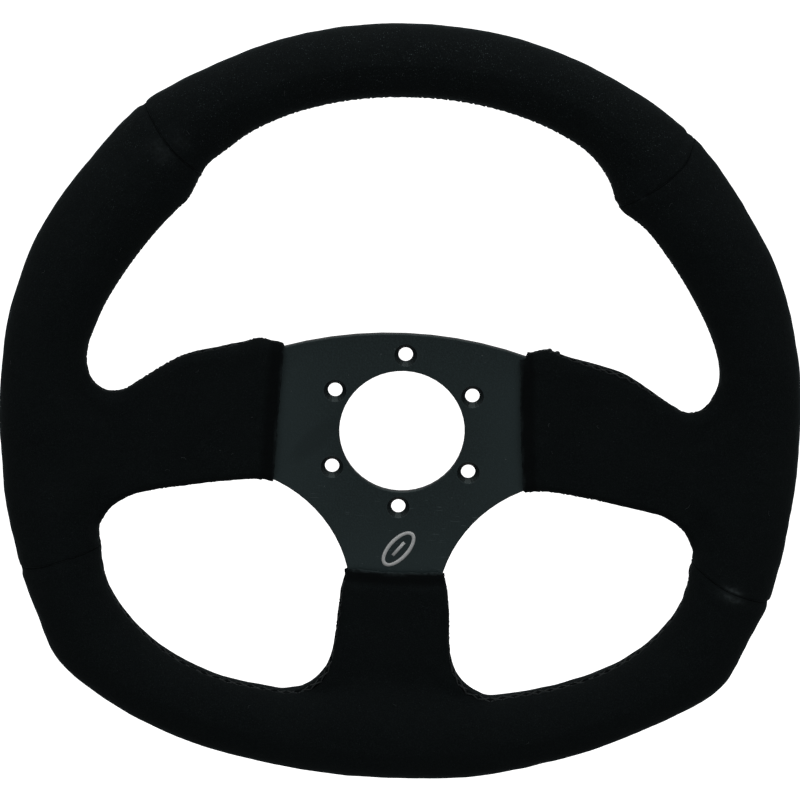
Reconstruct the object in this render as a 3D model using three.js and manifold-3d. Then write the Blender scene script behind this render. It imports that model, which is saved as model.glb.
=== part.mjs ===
// A flat, three-spoke, D-shaped motorsport steering wheel: an aluminium spoke plate riveted to a steel
// hoop, moulded foam over both, and a four-panel suede cover that is laced along its inner edges.
//
// Each piece is drawn in planform: X to the right, Y up and Z towards the driver, in millimetres, with
// the origin on the hub axis at the plate's back face. The wheel then stands up, so that in the finished
// group Z is up and the driver looks along +Y.
import * as THREE from 'three';
import { mergeVertices } from 'three/addons/utils/BufferGeometryUtils.js';
import Module from 'manifold-3d';

const wasm = await Module();
wasm.setup();

const GAP = 0.3; // between pieces that touch in the real wheel

// Spoke plate
const PLATE_THICKNESS = 3;
const PLATE_CHAMFER = 0.4;
const BORE_RADIUS = 27.75;
const BOLT_CIRCLE_RADIUS = 35;
const BOLT_COUNT = 6;
const BOLT_HOLE_RADIUS = 3.2;
const COUNTERSINK_RADIUS = 5.1;
const CROWN_RADIUS = 178; // arched top edge of the plate
const CROWN_TOP = 44.65;
const WAIST_RADIUS = 60.2; // hollow between a side arm and the bottom arm
const WAIST_CENTRE = [79.8, -80];
const PLATE_CURVE_SEGMENTS = 7;

// Rim. Each station is an angle above the +X axis, with the distance from the hub axis to the outer and
// to the inner edge of the cover. The left half mirrors the right half.
const RIM_STATIONS = [
  [90, 180, 148.5],
  [74, 180.5, 149],
  [60, 181, 148],
  [50, 182.5, 141],
  [41, 180.5, 139.5],
  [28, 180, 140.5],
  [14, 178.5, 143],
  [0, 177, 139],
  [-13, 179, 138],
  [-23, 183.5, 143.5],
  [-30, 185.5, 149.5],
  [-36, 188.5, 150.5],
  [-42, 186, 149],
  [-50, 180.5, 145],
  [-60, 174, 138],
  [-75, 167.5, 130],
  [-90, 165, 127.5],
];
const UPPER_SEAM_STATION = 3;
const LOWER_SEAM_STATION = 9;
const LAST_STATION = RIM_STATIONS.length - 1;
const RIM_LOOP_LENGTH = 2 * LAST_STATION;
const RIM_STEPS = 2 * RIM_LOOP_LENGTH;
const RIM_HALF_DEPTH = 15;
const RIM_PLANE = PLATE_THICKNESS / 2; // middle plane of the rim and of the spoke covers
const SECTION_SIDES = 12;

// Cover and foam
const SUEDE = 1.3;
const SPOKE_HALF_DEPTH = 5;
const FOAM_HEM_SETBACK = 3.5;
const SEAM_GAP_DEGREES = 0.06;
const HEM = { top: 51.9, bottom: 55.7, lower: -65 }; // x of the side hems, and y of the bottom hem

// Hoop and rivets
const HOOP_HALF_WIDTH = 6;
const HOOP_THICKNESS = 4;
const HOOP_FRONT = -GAP;
const HOOP_BACK = HOOP_FRONT - HOOP_THICKNESS;
const RIVET_RADIUS = 2.2;
const RIVET_HEAD_RADIUS = 4.5;
const RIVET_HEAD_HEIGHT = 1.6;
const RIVETS = {
  rivet_right_upper: [157.6, -4],
  rivet_right_lower: [156.2, -24],
  rivet_left_upper: [-157.6, -4],
  rivet_left_lower: [-156.2, -24],
  rivet_bottom_right: [11, -145.6],
  rivet_bottom_left: [-11, -145.6],
};

// Thread
const LACE_RADIUS = 0.6;
const LACE_GROOVE_RADIUS = 1.05;
const SEAM_THREAD_RADIUS = 0.6;

// Edges of the spoke covers on the right-hand side, from the hem outwards to the rim
const SPOKE_TOP_EDGE = [
  [50, 39.5], [58, 39], [66.5, 38.5], [83, 34.5], [95, 31.5], [104, 27], [114, 20], [122, 14.5],
  [131, 14], [137, 19.5], [139.5, 28],
];
const SPOKE_UNDER_EDGE = [
  [53.5, -27.5], [60, -25.5], [66, -25], [75, -26], [91, -28.5], [109, -32], [119, -35],
  [127.5, -41.5], [132, -50],
];
const BOTTOM_SPOKE_EDGE = [
  [24, -62], [23.5, -67], [24, -73], [25.5, -86], [26.5, -100], [29, -110.5], [35.5, -119],
  [45.5, -124],
];

const radians = THREE.MathUtils.degToRad;
const polar = (angle, radius) => [radius * Math.cos(radians(angle)), radius * Math.sin(radians(angle))];
const mirrored = (points) => points.map(([x, y]) => [-x, y]).reverse();
const flatPoints = (points) => points.map(([x, y]) => new THREE.Vector2(x, y));
const planePoints = (points, z = RIM_PLANE) => points.map(([x, y]) => new THREE.Vector3(x, y, z));

// Booleans

function toSolid(geometry) {
  const bare = geometry.clone();
  bare.deleteAttribute('normal');
  bare.deleteAttribute('uv');
  const merged = mergeVertices(bare, 1e-4);
  return new wasm.Manifold(new wasm.Mesh({
    numProp: 3,
    vertProperties: new Float32Array(merged.attributes.position.array),
    triVerts: new Uint32Array(merged.index.array),
  }));
}

function toGeometry(solid) {
  const mesh = solid.getMesh();
  const geometry = new THREE.BufferGeometry();
  geometry.setAttribute('position', new THREE.BufferAttribute(mesh.vertProperties, 3));
  geometry.setIndex(new THREE.BufferAttribute(mesh.triVerts, 1));
  geometry.computeVertexNormals();
  return geometry;
}

const subtractAll = (solid, cutters) => cutters.reduce((rest, cutter) => rest.subtract(cutter), solid);

// Basic shapes

// A planform shape between two heights, grown all round by a margin.
function slab(shape, low, high, grow = 0, curveSegments = 2) {
  const geometry = new THREE.ExtrudeGeometry(shape, {
    depth: high - low,
    curveSegments,
    bevelEnabled: grow > 0,
    bevelThickness: grow,
    bevelSize: 0,
    bevelOffset: grow,
    bevelSegments: 1,
  });
  geometry.translate(0, 0, low);
  return toSolid(geometry);
}

// A ring-shaped solid through a loop of sections with the same number of points each.
function closedLoft(sections) {
  const sides = sections[0].length;
  const indices = [];
  sections.forEach((_, i) => {
    const here = i * sides;
    const next = ((i + 1) % sections.length) * sides;
    for (let j = 0; j < sides; j += 1) {
      const k = (j + 1) % sides;
      indices.push(here + j, next + j, next + k, here + j, next + k, here + k);
    }
  });
  const geometry = new THREE.BufferGeometry().setFromPoints(sections.flat());
  geometry.setIndex(indices);
  return toSolid(geometry);
}

// A round cord along a run of planform points, with both of its ends drawn in by a setback. The number
// of steps depends on the run alone, so that a cord and its groove have their corners side by side.
function cord(run, radius, setback, sides = 5, stepLength = 8) {
  const smooth = (points) => new THREE.CatmullRomCurve3(points, false, 'centripetal');
  const points = planePoints(run);
  const steps = Math.round(smooth(planePoints(run)).getLength() / stepLength);
  const [first, second] = points;
  const [last, beforeLast] = [...points].reverse();
  first.add(second.clone().sub(first).setLength(setback));
  last.add(beforeLast.clone().sub(last).setLength(setback));
  const section = new THREE.Shape(Array.from({ length: sides }, (_, i) => (
    new THREE.Vector2(...polar((360 * i) / sides, radius))
  )));
  return toSolid(new THREE.ExtrudeGeometry(section, { steps, extrudePath: smooth(points) }));
}

// A turned piece about an axis square to the plate, from [radius, height] pairs.
function turned(profile, [x, y], segments = 12) {
  const geometry = new THREE.LatheGeometry(flatPoints(profile), segments);
  geometry.rotateX(Math.PI / 2);
  geometry.translate(x, y, 0);
  return toSolid(geometry);
}

const cylinder = (radius, low, high, centre, segments) => (
  turned([[0, low], [radius, low], [radius, high], [0, high]], centre, segments)
);

// Rim loop

function rimEdge(column) {
  const right = RIM_STATIONS.map((station) => polar(station[0], station[column]));
  const left = mirrored(right.slice(1, LAST_STATION));
  return new THREE.CatmullRomCurve3(planePoints([...right, ...left]), true, 'centripetal');
}

const outerEdge = rimEdge(1);
const innerEdge = rimEdge(2);

function rimPlace(t) {
  const outer = outerEdge.getPoint(t);
  const inner = innerEdge.getPoint(t);
  const half = outer.clone().sub(inner).multiplyScalar(0.5);
  return { middle: outer.add(inner).multiplyScalar(0.5), halfWidth: half.length(), across: half.normalize() };
}

function rimSections(sectionPoints) {
  return Array.from({ length: RIM_STEPS }, (_, i) => {
    const place = rimPlace(i / RIM_STEPS);
    return sectionPoints(place).map(([sideways, height]) => (
      place.middle.clone().addScaledVector(place.across, sideways).setZ(height)
    ));
  });
}

// The rim's oval section, drawn in from the surface of the cover by a margin.
function ovalRim(inset) {
  return closedLoft(rimSections(({ halfWidth }) => (
    Array.from({ length: SECTION_SIDES }, (_, i) => {
      const turn = (2 * Math.PI * i) / SECTION_SIDES;
      return [
        (halfWidth - inset) * Math.cos(turn),
        RIM_PLANE - (RIM_HALF_DEPTH - inset) * Math.sin(turn),
      ];
    })
  )));
}

function hoopBar(grow) {
  const side = HOOP_HALF_WIDTH + grow;
  const [low, high] = [HOOP_BACK - grow, HOOP_FRONT + grow];
  return closedLoft(rimSections(() => [[side, high], [side, low], [-side, low], [-side, high]]));
}

function hoopLineShape() {
  const points = Array.from({ length: RIM_LOOP_LENGTH }, (_, i) => rimPlace(i / RIM_LOOP_LENGTH).middle);
  return new THREE.Shape(points.map(({ x, y }) => new THREE.Vector2(x, y)));
}

// Openings between the spokes. Along the rim they run inside it, where they cut nothing that shows.

function upperOpening() {
  const insideRim = Array.from({ length: 12 }, (_, i) => polar(18 + (144 * i) / 11, 151));
  const start = [40, 42];
  const shape = new THREE.Shape();
  shape.moveTo(...start);
  shape.splineThru(flatPoints([...SPOKE_TOP_EDGE, ...insideRim, ...mirrored([start, ...SPOKE_TOP_EDGE])]));
  return shape;
}

function lowerOpening(side) {
  const insideRim = [
    [60, -128], [80, -123], [100, -113], [118, -100], [131, -85], [137.5, -70], [136.5, -58],
  ];
  const besidePlate = [[40, -38], [30, -50]];
  const edge = [...BOTTOM_SPOKE_EDGE, ...insideRim, ...[...SPOKE_UNDER_EDGE].reverse(), ...besidePlate];
  const points = flatPoints(edge.map(([x, y]) => [side * x, y]));
  const shape = new THREE.Shape();
  shape.moveTo(points[0].x, points[0].y);
  shape.splineThru([...points.slice(1), points[0]]);
  return shape;
}

const OPENINGS = [upperOpening(), lowerOpening(1), lowerOpening(-1)];

// The covered wheel: the rim and the flat webs that carry the cover down onto the spokes.
function coveredWheel(inset) {
  const half = SPOKE_HALF_DEPTH - inset;
  const web = slab(hoopLineShape(), RIM_PLANE - half, RIM_PLANE + half);
  const cutters = OPENINGS.map((shape) => slab(shape, -20, 20, inset));
  return ovalRim(inset).add(subtractAll(web, cutters));
}

// Suede panels

// Each panel's ground in planform: between two cross seams, and from the rim down to a hem.
function panelGround(name) {
  const far = 260;
  const near = 100;
  const lowerNear = 125;
  const upper = RIM_STATIONS[UPPER_SEAM_STATION][0];
  const lower = RIM_STATIONS[LOWER_SEAM_STATION][0];
  const slack = SEAM_GAP_DEGREES;
  const right = [
    polar(upper - slack, near), [HEM.top - 0.6, 52], [HEM.bottom + 0.4, -35],
    polar(lower + slack, lowerNear), polar(lower + slack, far), [far, 0], polar(upper - slack, far),
  ];
  const lowerRight = [polar(lower - slack, far), polar(lower - slack, lowerNear), [50, HEM.lower]];
  const upperRight = [polar(upper + slack, far), polar(upper + slack, near)];
  const grounds = {
    suede_top: [[0, far], ...upperRight, ...mirrored(upperRight)],
    suede_right: right,
    suede_left: mirrored(right),
    suede_bottom: [...lowerRight, ...mirrored(lowerRight), [0, -far]],
  };
  return new THREE.Shape(flatPoints(grounds[name]));
}

// Lacing runs along the inner edge of a panel, from seam to seam or from seam to hem.

function innerEdgeRun(fromStation, toStation) {
  const count = Math.round(2 * (toStation - fromStation));
  return Array.from({ length: count + 1 }, (_, i) => {
    const station = THREE.MathUtils.lerp(fromStation, toStation, i / count);
    const { x, y } = innerEdge.getPoint((station / RIM_LOOP_LENGTH + 1) % 1);
    return [x, y];
  });
}

const SEAM_SETBACK = 0.1; // in stations
const topRun = innerEdgeRun(-UPPER_SEAM_STATION + SEAM_SETBACK, UPPER_SEAM_STATION - SEAM_SETBACK);
const sideUpperRun = [
  ...innerEdgeRun(UPPER_SEAM_STATION + SEAM_SETBACK, 6),
  ...[...SPOKE_TOP_EDGE].reverse().slice(0, -2), [55, 39.4],
];
const sideLowerRun = [[58, -26.2], ...SPOKE_UNDER_EDGE.slice(2), [132, -54.5]];
const bottomRun = [
  ...innerEdgeRun(LOWER_SEAM_STATION + 0.3, 14.3),
  ...[...BOTTOM_SPOKE_EDGE].reverse().slice(0, -2), [23.7, -68],
];
const LACES = {
  lacing_top: topRun,
  lacing_right_upper: sideUpperRun,
  lacing_left_upper: mirrored(sideUpperRun),
  lacing_right_lower: sideLowerRun,
  lacing_left_lower: mirrored(sideLowerRun),
  lacing_bottom_right: bottomRun,
  lacing_bottom_left: mirrored(bottomRun),
};

// A thread that goes round the rim in the valley of a cross seam.
function seamRing(station, radius) {
  const place = rimPlace((station / RIM_LOOP_LENGTH + 1) % 1);
  const along = place.across.clone().cross(new THREE.Vector3(0, 0, 1));
  const count = 20;
  const sides = 5;
  return closedLoft(Array.from({ length: count }, (_, i) => {
    const turn = (2 * Math.PI * i) / count;
    const [cosine, sine] = [Math.cos(turn), Math.sin(turn)];
    const centre = place.middle.clone().addScaledVector(place.across, place.halfWidth * cosine);
    centre.z += RIM_HALF_DEPTH * sine;
    const outwards = place.across.clone().multiplyScalar(cosine / place.halfWidth);
    outwards.z = sine / RIM_HALF_DEPTH;
    outwards.normalize();
    return Array.from({ length: sides }, (__, j) => {
      const [x, y] = polar((360 * j) / sides, radius);
      return centre.clone().addScaledVector(outwards, x).addScaledVector(along, y);
    });
  }));
}

const SEAMS = {
  seam_thread_upper_right: UPPER_SEAM_STATION,
  seam_thread_lower_right: LOWER_SEAM_STATION,
  seam_thread_lower_left: -LOWER_SEAM_STATION,
  seam_thread_upper_left: -UPPER_SEAM_STATION,
};

function threadGrooves() {
  const lacing = Object.values(LACES).map((run) => cord(run, LACE_GROOVE_RADIUS, 0));
  const rings = Object.values(SEAMS).map((station) => seamRing(station, SEAM_THREAD_RADIUS + GAP));
  return [...lacing, ...rings];
}

// Frame

function plateShape() {
  const crownY = CROWN_TOP - CROWN_RADIUS;
  const crownEnd = radians(65);
  const waistTop = 100.3;
  const waistBottom = 170.1;
  const [waistX, waistY] = WAIST_CENTRE;
  const shape = new THREE.Shape();
  shape.absarc(0, crownY, CROWN_RADIUS, Math.PI - crownEnd, crownEnd, true);
  shape.lineTo(120, 10);
  shape.lineTo(162, 4);
  shape.lineTo(160, -31);
  shape.lineTo(108, -27.5);
  shape.absarc(waistX, waistY, WAIST_RADIUS, radians(waistTop), radians(waistBottom));
  shape.lineTo(21, -151);
  shape.lineTo(-21, -151);
  shape.absarc(-waistX, waistY, WAIST_RADIUS, radians(180 - waistBottom), radians(180 - waistTop));
  shape.lineTo(-108, -27.5);
  shape.lineTo(-160, -31);
  shape.lineTo(-162, 4);
  shape.lineTo(-120, 10);
  return shape;
}

function spokePlate() {
  const geometry = new THREE.ExtrudeGeometry(plateShape(), {
    depth: PLATE_THICKNESS - 2 * PLATE_CHAMFER,
    curveSegments: PLATE_CURVE_SEGMENTS,
    bevelThickness: PLATE_CHAMFER,
    bevelSize: PLATE_CHAMFER,
    bevelOffset: -PLATE_CHAMFER,
    bevelSegments: 1,
  });
  geometry.translate(0, 0, PLATE_CHAMFER);
  const over = 1;
  const top = PLATE_THICKNESS;
  const boltCutter = [
    [0, -over], [BOLT_HOLE_RADIUS, -over],
    [BOLT_HOLE_RADIUS, top + BOLT_HOLE_RADIUS - COUNTERSINK_RADIUS],
    [COUNTERSINK_RADIUS + over, top + over], [0, top + over],
  ];
  const boreLip = BORE_RADIUS + PLATE_CHAMFER + over;
  const boreCutter = [
    [0, -over], [boreLip, -over], [BORE_RADIUS, PLATE_CHAMFER],
    [BORE_RADIUS, top - PLATE_CHAMFER], [boreLip, top + over], [0, top + over],
  ];
  const bolts = Array.from({ length: BOLT_COUNT }, (_, i) => (
    turned(boltCutter, polar(90 + (360 * i) / BOLT_COUNT, BOLT_CIRCLE_RADIUS), 20)
  ));
  return subtractAll(toSolid(geometry), [turned(boreCutter, [0, 0], 48), ...bolts, ...rivetHoles()]);
}

function rivetHoles() {
  return Object.values(RIVETS).map((centre) => cylinder(RIVET_RADIUS + GAP, -10, 10, centre));
}

function rivet(centre) {
  const frontFace = PLATE_THICKNESS + GAP;
  const backFace = HOOP_BACK - GAP;
  return turned([
    [0, backFace - RIVET_HEAD_HEIGHT], [RIVET_HEAD_RADIUS * 0.7, backFace - RIVET_HEAD_HEIGHT],
    [RIVET_HEAD_RADIUS, backFace], [RIVET_RADIUS, backFace], [RIVET_RADIUS, frontFace],
    [RIVET_HEAD_RADIUS, frontFace], [RIVET_HEAD_RADIUS * 0.7, frontFace + RIVET_HEAD_HEIGHT],
    [0, frontFace + RIVET_HEAD_HEIGHT],
  ], centre);
}

// Foam over the hoop and the arms, with the space that the metal frame fills left free.
function foamCore() {
  const back = HOOP_BACK - RIVET_HEAD_HEIGHT - 2 * GAP;
  const front = PLATE_THICKNESS + RIVET_HEAD_HEIGHT + 2 * GAP;
  const heads = Object.values(RIVETS).map((centre) => cylinder(RIVET_HEAD_RADIUS + GAP, back, front, centre));
  const window = new THREE.Shape(flatPoints([
    [HEM.top, 60], [HEM.bottom, -35], [50, HEM.lower], [-50, HEM.lower], [-HEM.bottom, -35], [-HEM.top, 60],
  ]));
  const plateSpace = slab(plateShape(), 0, PLATE_THICKNESS, GAP, PLATE_CURVE_SEGMENTS);
  return subtractAll(coveredWheel(SUEDE + GAP), [
    slab(window, -20, 20, FOAM_HEM_SETBACK), hoopBar(GAP), plateSpace, ...heads,
  ]);
}

// Assembly

const SUEDE_LOOK = { color: 0x141618, roughness: 0.95, metalness: 0 };
const THREAD_LOOK = { color: 0x0c0d0e, roughness: 0.7, metalness: 0 };
const PLATE_LOOK = { color: 0x1e2426, roughness: 0.45, metalness: 0.8 };
const STEEL_LOOK = { color: 0x8c9094, roughness: 0.4, metalness: 0.9 };
const FOAM_LOOK = { color: 0x26282a, roughness: 0.9, metalness: 0 };

const planform = new THREE.Group();
planform.rotation.x = Math.PI / 2;

function addPiece(name, solid, look) {
  const mesh = new THREE.Mesh(toGeometry(solid), new THREE.MeshStandardMaterial(look));
  mesh.name = name;
  planform.add(mesh);
}

const cover = subtractAll(coveredWheel(0), [coveredWheel(SUEDE), ...threadGrooves()]);

addPiece('spoke_plate', spokePlate(), PLATE_LOOK);
addPiece('rim_hoop', subtractAll(hoopBar(0), rivetHoles()), STEEL_LOOK);
Object.entries(RIVETS).forEach(([name, centre]) => addPiece(name, rivet(centre), STEEL_LOOK));
addPiece('foam_core', foamCore(), FOAM_LOOK);
['suede_top', 'suede_left', 'suede_right', 'suede_bottom'].forEach((name) => {
  addPiece(name, cover.intersect(slab(panelGround(name), -30, 30)), SUEDE_LOOK);
});
Object.entries(SEAMS).forEach(([name, station]) => {
  addPiece(name, seamRing(station, SEAM_THREAD_RADIUS), THREAD_LOOK);
});
Object.entries(LACES).forEach(([name, run]) => {
  addPiece(name, cord(run, LACE_RADIUS, 1.5 * GAP), THREAD_LOOK);
});

const steeringWheel = new THREE.Group();
steeringWheel.add(planform);

export default steeringWheel;
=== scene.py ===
"""Looks of a flat three-spoke steering wheel with a laced suede cover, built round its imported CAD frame."""

import math

import bpy
import numpy as np
from mathutils import Matrix, Vector


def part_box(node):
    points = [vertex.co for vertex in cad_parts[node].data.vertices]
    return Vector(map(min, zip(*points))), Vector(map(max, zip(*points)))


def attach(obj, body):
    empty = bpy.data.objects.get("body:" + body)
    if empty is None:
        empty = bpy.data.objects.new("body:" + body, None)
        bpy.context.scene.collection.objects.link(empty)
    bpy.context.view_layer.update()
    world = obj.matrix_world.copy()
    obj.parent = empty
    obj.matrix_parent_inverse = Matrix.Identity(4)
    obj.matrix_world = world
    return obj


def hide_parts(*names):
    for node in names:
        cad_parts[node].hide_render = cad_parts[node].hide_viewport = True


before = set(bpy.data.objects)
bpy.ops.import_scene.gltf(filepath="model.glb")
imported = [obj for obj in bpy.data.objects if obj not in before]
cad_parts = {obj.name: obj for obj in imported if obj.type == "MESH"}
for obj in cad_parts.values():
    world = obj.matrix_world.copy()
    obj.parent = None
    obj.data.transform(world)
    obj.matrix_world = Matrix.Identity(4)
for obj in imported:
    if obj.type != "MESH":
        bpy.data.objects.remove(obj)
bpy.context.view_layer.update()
scene = bpy.context.scene
MM = 0.001

# ---------------------------------------------------------------- camera
# The wheel stands upright and the camera looks at its front from a little above.
CAMERA_DISTANCE = 1.18
CAMERA_ELEVATION = math.radians(16)
CAMERA_AZIMUTH = math.radians(-1)
CAMERA_ROLL = math.radians(2.8)
CAMERA_LENS = 120.0
CAMERA_SHIFT = (-0.0025, 0.04)
HUB_FRONT = Vector((0.0, -0.003, 0.0))


def make_camera():
    data = bpy.data.cameras.new("camera")
    data.lens = CAMERA_LENS
    data.sensor_width = 36.0
    data.shift_x, data.shift_y = CAMERA_SHIFT
    data.clip_start = 0.05
    data.clip_end = 3000.0
    camera = bpy.data.objects.new("camera", data)
    scene.collection.objects.link(camera)
    level = math.cos(CAMERA_ELEVATION)
    away = Vector((
        level * math.sin(CAMERA_AZIMUTH), -level * math.cos(CAMERA_AZIMUTH), math.sin(CAMERA_ELEVATION),
    ))
    side = Vector((0, 0, 1)).cross(away).normalized()
    up = away.cross(side)
    right = side * math.cos(CAMERA_ROLL) + up * math.sin(CAMERA_ROLL)
    top = up * math.cos(CAMERA_ROLL) - side * math.sin(CAMERA_ROLL)
    place = HUB_FRONT + away * CAMERA_DISTANCE
    matrix = [[right[i], top[i], away[i], place[i]] for i in range(3)] + [[0, 0, 0, 1]]
    camera.matrix_world = Matrix(matrix)
    scene.camera = camera


make_camera()

# ---------------------------------------------------------------- planform, in mm
# x to the right, y up, z towards the driver, with z = 0 on the plate's back face.
PLATE_FRONT = -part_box("spoke_plate")[0][1] / MM
MIDDLE = PLATE_FRONT / 2
RIM_DEPTH = (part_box("suede_top")[1][1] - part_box("suede_top")[0][1]) / MM / 2
SUEDE = 1.25

# Where the hand-wrapped cover stands fuller or tighter than its pattern: x, y, reach and height.
OUTER_SWELLS = [
    (-110, -137, 45, 1.5), (110, -137, 45, -1.5), (-160, 70, 95, 1.5), (165, 60, 80, -1),
    (112, 141, 22, -1), (-162, -82, 22, -1), (148, -112, 15, 1), (-168, -62, 14, -1),
]
INNER_SWELLS = [
    (90, 105, 10, 3.5), (-88, 113, 11, -3), (-98, 101, 6, 1), (-135, 17, 12, -1.5), (136, 20, 12, 1.5),
    (62, 40, 4, 1.5), (-65, 39, 4, 1), (52, 39, 6, -1), (-53, 39, 6, -1.5), (-80, -119, 40, -2.5),
    (-132, -50, 15, -1), (130, -48, 22, -1), (24, -67, 4, -1), (-24, -67, 4, -1),
]
RAYS = 1200
FACET_TOLERANCE = 0.12
# Where the laced edge is pulled forward of the middle plane: x, y, reach and distance.
LACE_SHIFTS = [
    (36, -118, 15, 4.5), (-34, -117, 15, 4.5), (-26, -84, 16, 3.2), (27, -95, 12, 2), (92, 31, 24, 4),
    (-85, 32, 14, 1.5), (-85, -118, 40, 2), (85, -114, 40, 2),
]
# Cross seams, from inside the rim to outside it.
SEAMS = {
    "upper_right": [(82, 101), (99, 113), (110, 122), (116, 129), (119, 137), (126, 150)],
    "upper_left": [(-84, 105), (-104, 124), (-113, 136), (-122, 150)],
    "lower_right": [(120, -46), (144, -61.5), (155, -66), (169, -71), (182, -74)],
    "lower_left": [(-120, -55), (-145, -62), (-169, -70), (-182, -72)],
}
# Hems, a little past both edges of each spoke.
HEMS = {
    "right": [(50, 60), (50.5, 34), (52.5, 2), (55, -24), (58, -60)],
    "left": [(-53, 60), (-53.5, 34), (-55, 2), (-56, -24), (-60, -60)],
    "bottom": [(-60, -63.5), (-22, -64.5), (0, -65.5), (22, -64.5), (60, -63.5)],
}
# The rim's inner edge where it runs on behind the spokes, on the right-hand side.
RIM_BEHIND_SPOKE = [(140.5, 15), (140, 2), (138.5, -12), (136.5, -29), (134, -45)]
RIM_BEHIND_BOTTOM = [(31, -125), (15, -126.5), (0, -127)]


def spline(points, step=1.0, closed=False):
    """A smooth curve through the points, with points about step apart."""
    p = np.array(points, float)
    n = len(p)
    out = []
    last = n if closed else n - 1
    for i in range(last):
        if closed:
            a, b, c, d = p[(i - 1) % n], p[i], p[(i + 1) % n], p[(i + 2) % n]
        else:
            a, b, c, d = p[max(i - 1, 0)], p[i], p[i + 1], p[min(i + 2, n - 1)]
        ab = max(np.hypot(*(b - a)[:2]), 1e-6) ** 0.5
        bc = max(np.hypot(*(c - b)[:2]), 1e-6) ** 0.5
        cd = max(np.hypot(*(d - c)[:2]), 1e-6) ** 0.5
        m1 = (c - b) + bc * ((b - a) / ab - (c - a) / (ab + bc)) if ab > 1e-2 else c - b
        m2 = (c - b) + bc * ((d - c) / cd - (d - b) / (bc + cd)) if cd > 1e-2 else c - b
        k = max(2, int(round(np.hypot(*(c - b)[:2]) / step)))
        t = (np.arange(k) / k)[:, None]
        out.append(
            (2 * t**3 - 3 * t**2 + 1) * b + (t**3 - 2 * t**2 + t) * m1
            + (-2 * t**3 + 3 * t**2) * c + (t**3 - t**2) * m2
        )
    if not closed:
        out.append(p[-1:])
    return np.concatenate(out)


def mirrored(points):
    return [(-x, y) for x, y in points]


def planform_edges(*kinds):
    """The ends of every mesh edge of the nodes of these kinds, seen square to the plate."""
    starts, ends = [], []
    for name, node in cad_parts.items():
        if name.startswith(kinds):
            mesh = node.data
            v = np.empty(3 * len(mesh.vertices))
            e = np.empty(2 * len(mesh.edges), int)
            mesh.vertices.foreach_get("co", v)
            mesh.edges.foreach_get("vertices", e)
            flat = v.reshape(-1, 3)[:, [0, 2]] / MM
            starts.append(flat[e[0::2]])
            ends.append(flat[e[1::2]])
    return np.concatenate(starts), np.concatenate(ends)


def outline_round(centre, edges, outermost, count):
    """The outline that rays from a centre meet: the first edge of an opening, or the last of the wheel."""
    a, b = edges[0] - centre, edges[1] - centre
    points = []
    for turn in np.arange(count) * 2 * math.pi / count:
        ray = np.array([math.cos(turn), math.sin(turn)])
        side_a, side_b = ray[0] * a[:, 1] - ray[1] * a[:, 0], ray[0] * b[:, 1] - ray[1] * b[:, 0]
        met = (side_a < 0) != (side_b < 0)
        t = side_a[met] / (side_a[met] - side_b[met])
        reach = (a[met] + t[:, None] * (b[met] - a[met])) @ ray
        reach = reach[reach > 0]
        points.append(centre + ray * (reach.max() if outermost else reach.min()))
    return np.array(points)


def even(loop, step):
    """The same closed loop with its points evenly spaced."""
    closed = np.concatenate([loop, loop[:1]])
    along = np.concatenate([[0], np.cumsum(np.hypot(*np.diff(closed, axis=0).T))])
    at = np.arange(0, along[-1] - step / 2, step)
    return np.stack([np.interp(at, along, closed[:, i]) for i in (0, 1)], 1)


def corners(loop, tolerance):
    """The corners of a closed loop that is made of straight facets."""
    kept = {0, len(loop) // 2}
    spans = [(0, len(loop) // 2), (len(loop) // 2, len(loop))]
    closed = np.concatenate([loop, loop[:1]])
    while spans:
        first, last = spans.pop()
        if last - first < 2:
            continue
        a, d = closed[first], closed[last] - closed[first]
        rest = closed[first + 1 : last] - a
        off = np.abs(d[0] * rest[:, 1] - d[1] * rest[:, 0]) / max(np.hypot(*d), 1e-9)
        if off.max() > tolerance:
            far = first + 1 + int(off.argmax())
            kept.add(far)
            spans += [(first, far), (far, last)]
    return loop[sorted(kept)]


def swollen(loop, swells, outwards):
    """Moves a loop's points away from the cover's middle where the wrap is full."""
    tangent = np.roll(loop, -1, axis=0) - np.roll(loop, 1, axis=0)
    normal = np.stack([tangent[:, 1], -tangent[:, 0]], 1)
    normal /= np.linalg.norm(normal, axis=1, keepdims=True)
    lift = sum(
        height * np.exp(-(((loop - (x, y)) ** 2).sum(1) / reach**2)) for x, y, reach, height in swells
    )
    return loop + normal * (lift if outwards else -lift)[:, None]


def cover_loop(centre, outermost=False):
    """An outline of the cover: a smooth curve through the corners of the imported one, with its swells."""
    facets = outline_round(np.array(centre, float), cad_edges, outermost, RAYS)
    loop = even(spline(corners(facets, FACET_TOLERANCE), 1.4, True), 1.4)
    return swollen(loop, OUTER_SWELLS if outermost else INNER_SWELLS, outermost)


cad_edges = planform_edges("suede", "spoke_plate")
outer_loop = cover_loop((0, 0), True)
upper_loop = cover_loop((0, 100))
lower_loops = [cover_loop((75, -75)), cover_loop((-75, -75))]


def rim_inner_loop():
    """The inner edge of the round rim alone, carried on behind the three spokes."""
    shown = [upper_loop[(np.hypot(*upper_loop.T) > 137) & (upper_loop[:, 1] > 28)]]
    shown += [loop[(np.hypot(*loop.T) > 130) & (loop[:, 1] < -57)] for loop in lower_loops]
    behind = RIM_BEHIND_SPOKE + RIM_BEHIND_BOTTOM
    points = np.concatenate([p[::4] for p in shown] + [np.array(behind + mirrored(behind[:-1]))])
    order = np.argsort(np.arctan2(points[:, 1], points[:, 0]))
    return spline(points[order], 1.4, True)


inner_loop = rim_inner_loop()
plate_loop = outline_round(np.zeros(2), planform_edges("spoke_plate"), True, RAYS)


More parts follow.
